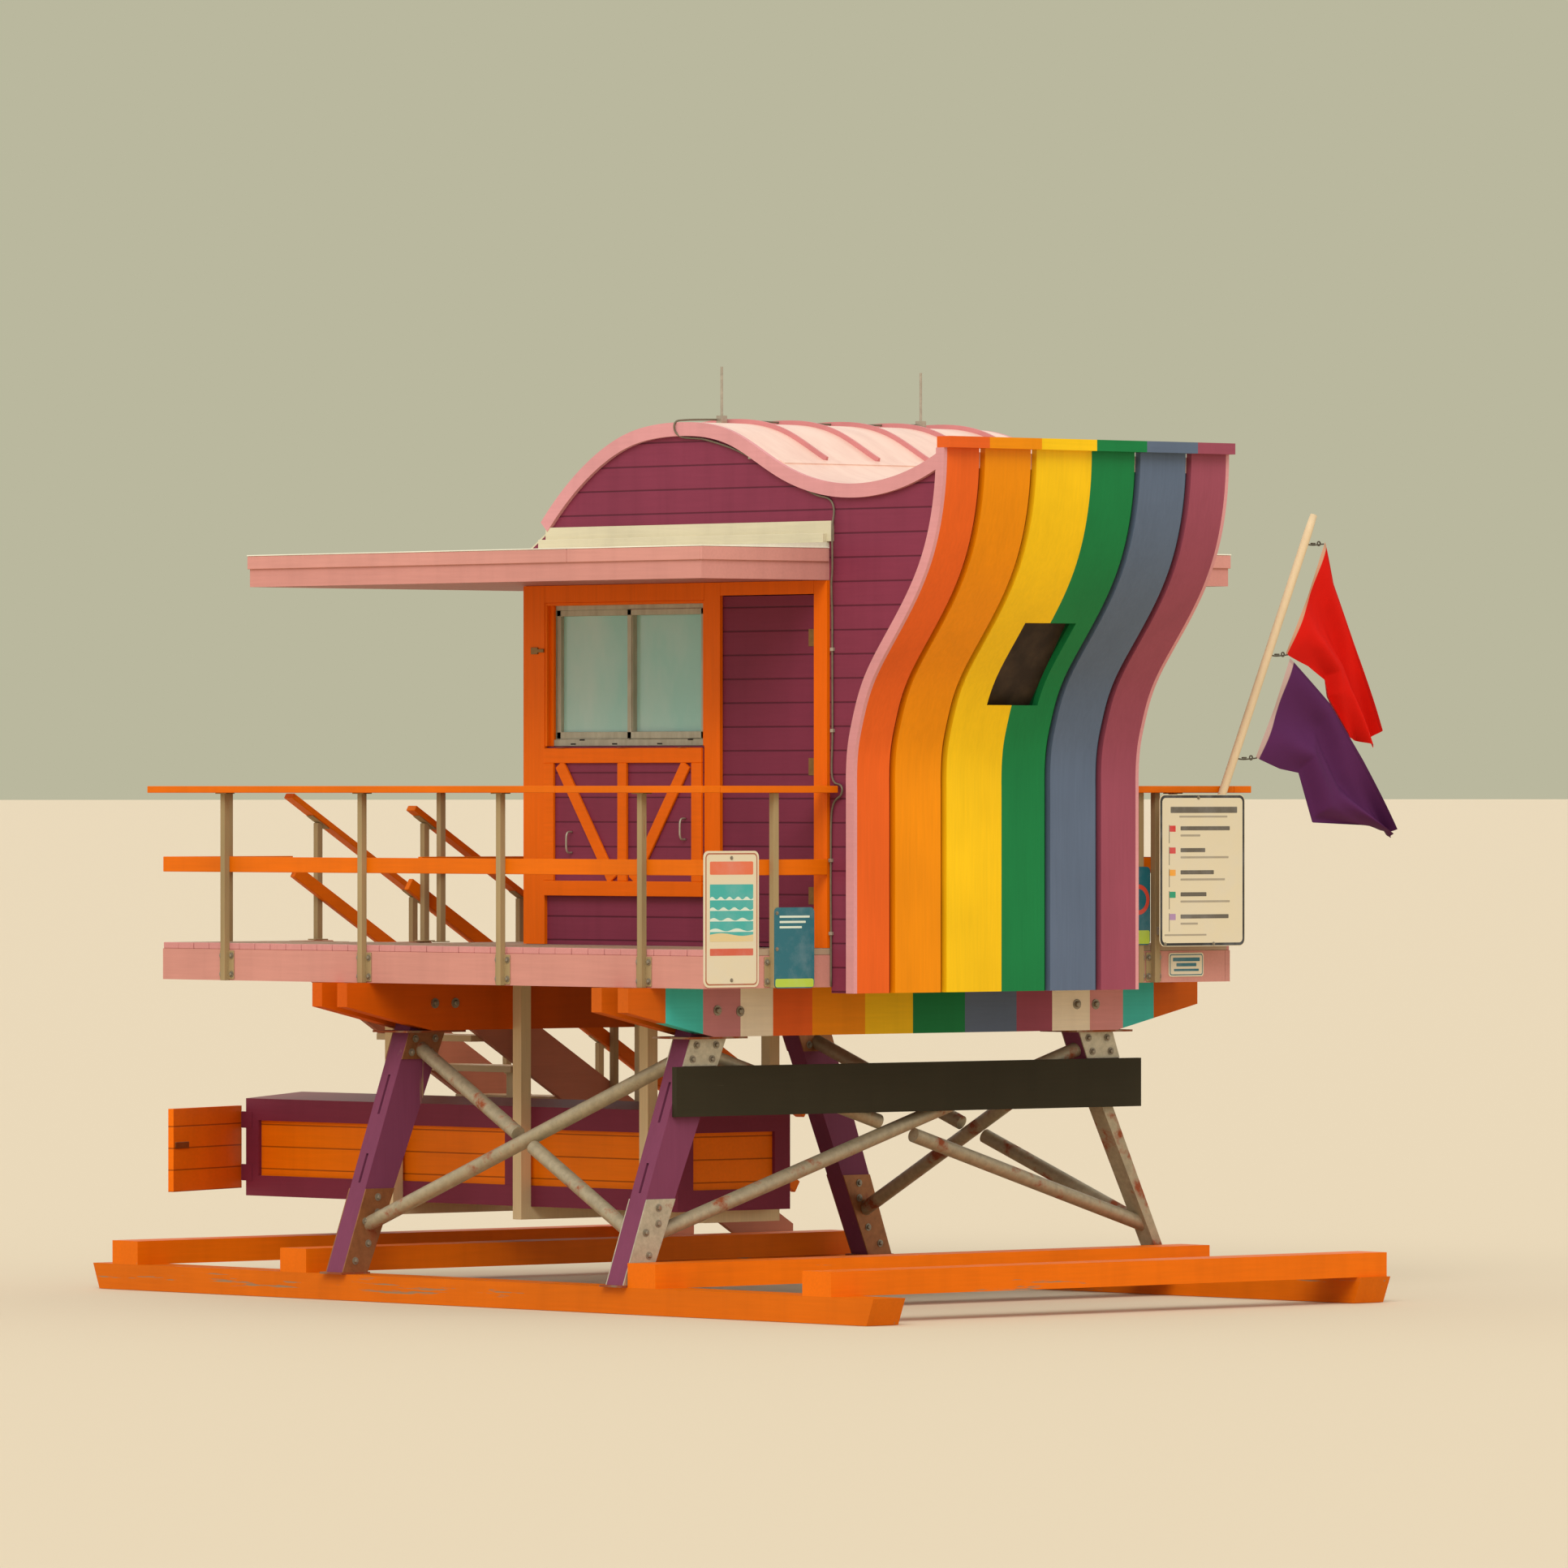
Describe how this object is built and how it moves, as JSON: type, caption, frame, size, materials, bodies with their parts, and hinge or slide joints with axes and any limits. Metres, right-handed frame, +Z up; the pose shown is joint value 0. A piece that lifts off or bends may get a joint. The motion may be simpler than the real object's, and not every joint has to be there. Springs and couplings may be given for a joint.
{
  "type": "lifeguard tower",
  "caption": "Raised beach lifeguard cabin on splayed legs and skids, with a wave roof, a curved striped wall, a railed deck, a stair, a long locker and two flags.",
  "frame": {"origin": "middle of the plan of the bounding box, on the ground under the skids", "axes": "+X along the skids from the ocean end to the striped land wall, +Y from the door side to the far side, +Z up"},
  "size_m": [7.1708, 5.559, 5.4505],
  "materials": {
    "skid_timber": "worn orange paint over weathered timber",
    "leg_paint": "faded purple paint",
    "galvanised": "galvanised steel with rust",
    "orange_beam": "weathered orange paint",
    "striped_beam": "paint in many coloured bands",
    "rim_pink": "weathered pink paint",
    "deck_timber": "bare weathered planks",
    "siding_purple": "painted siding boards",
    "roof_pink": "pale standing-seam sheet",
    "edge_pink": "pink painted boards",
    "canopy_pink": "pink painted fascia",
    "flashing_cream": "cream metal",
    "window_grey": "dull grey-beige",
    "glass_green": "tinted, slightly dirty",
    "trim_orange": "orange paint",
    "shutter_paint": "orange frame with a purple panel",
    "door_paint": "purple boards",
    "brass": "aged",
    "rail_timber": "orange cap on weathered posts",
    "stair_pink": "dusty pink paint",
    "tread_cream": "worn cream paint",
    "locker_paint": "purple frame, mauve top",
    "locker_orange": "orange boards",
    "hanger_cream": "cream paint",
    "board_dark": "dark paint",
    "sign_cream": "printed sheet",
    "pole_wood": "bare pale wood",
    "flag_red": "thin woven cloth",
    "flag_purple": "thin woven cloth",
    "rod_metal": "dull",
    "stripe_red_paint": "gloss paint",
    "stripe_orange_paint": "gloss paint",
    "stripe_yellow_paint": "gloss paint",
    "stripe_green_paint": "gloss paint",
    "stripe_blue_paint": "gloss paint",
    "stripe_mauve_paint": "gloss paint"
  },
  "bodies": {
    "tower": {"skids": "skid_timber", "cross_timbers": "skid_timber", "legs": "leg_paint", "steel_leg_post": "galvanised", "foot_plates": "galvanised", "leg_brackets": "galvanised", "head_plates": "galvanised", "side_braces": "galvanised", "land_braces": "galvanised", "beams_ocean": "orange_beam", "beams_land": "striped_beam", "joists": "deck_timber", "rim_boards": "rim_pink", "deck_boards": "deck_timber", "cabin_floor": "deck_timber", "near_window_bay": "siding_purple", "near_land_strip": "siding_purple", "near_gable": "siding_purple", "far_wall": "siding_purple", "far_gable": "siding_purple", "ocean_wall": "siding_purple", "land_wall": "siding_purple", "roof": "roof_pink", "parapet_cap": "edge_pink", "edge_boards": "edge_pink", "canopy_near": "canopy_pink", "canopy_far": "canopy_pink", "canopy_ocean": "canopy_pink", "canopy_flashing": "flashing_cream", "window_frames": "window_grey", "window_glass": "glass_green", "wall_trims": "trim_orange", "window_shutters": "shutter_paint", "door_hinges": "brass", "near_railing": "rail_timber", "far_railing": "rail_timber", "end_railings": "rail_timber", "guard_railing": "rail_timber", "stair_stringers": "stair_pink", "stair_treads": "tread_cream", "stair_rails": "rail_timber", "locker_box": "locker_paint", "locker_panel": "locker_orange", "hatch_hinges": "brass", "locker_hangers": "hanger_cream", "name_board": "board_dark", "signs": "sign_cream", "flagpole": "pole_wood", "red_flag": "flag_red", "purple_flag": "flag_purple", "lightning_rods": "rod_metal", "stripe_red": "stripe_red_paint", "stripe_orange": "stripe_orange_paint", "stripe_yellow": "stripe_yellow_paint", "stripe_green": "stripe_green_paint", "stripe_blue": "stripe_blue_paint", "stripe_mauve": "stripe_mauve_paint"},
    "door": {"cabin_door": "door_paint"},
    "hatch": {"locker_hatch": "locker_orange"}
  },
  "joints": [
    {"name": "cabin_door_hinge", "type": "hinge", "parent": "tower", "child": "door", "pos_m": [1.89737, -1.6398, 3.12], "axis": [0, 0, 1], "range_deg": [0, 90]},
    {"name": "locker_hatch_hinge", "type": "hinge", "parent": "tower", "child": "hatch", "pos_m": [-3.55263, -1.4295, 0.824], "axis": [0, 0, 1], "range_deg": [-203, 8]}
  ]
}
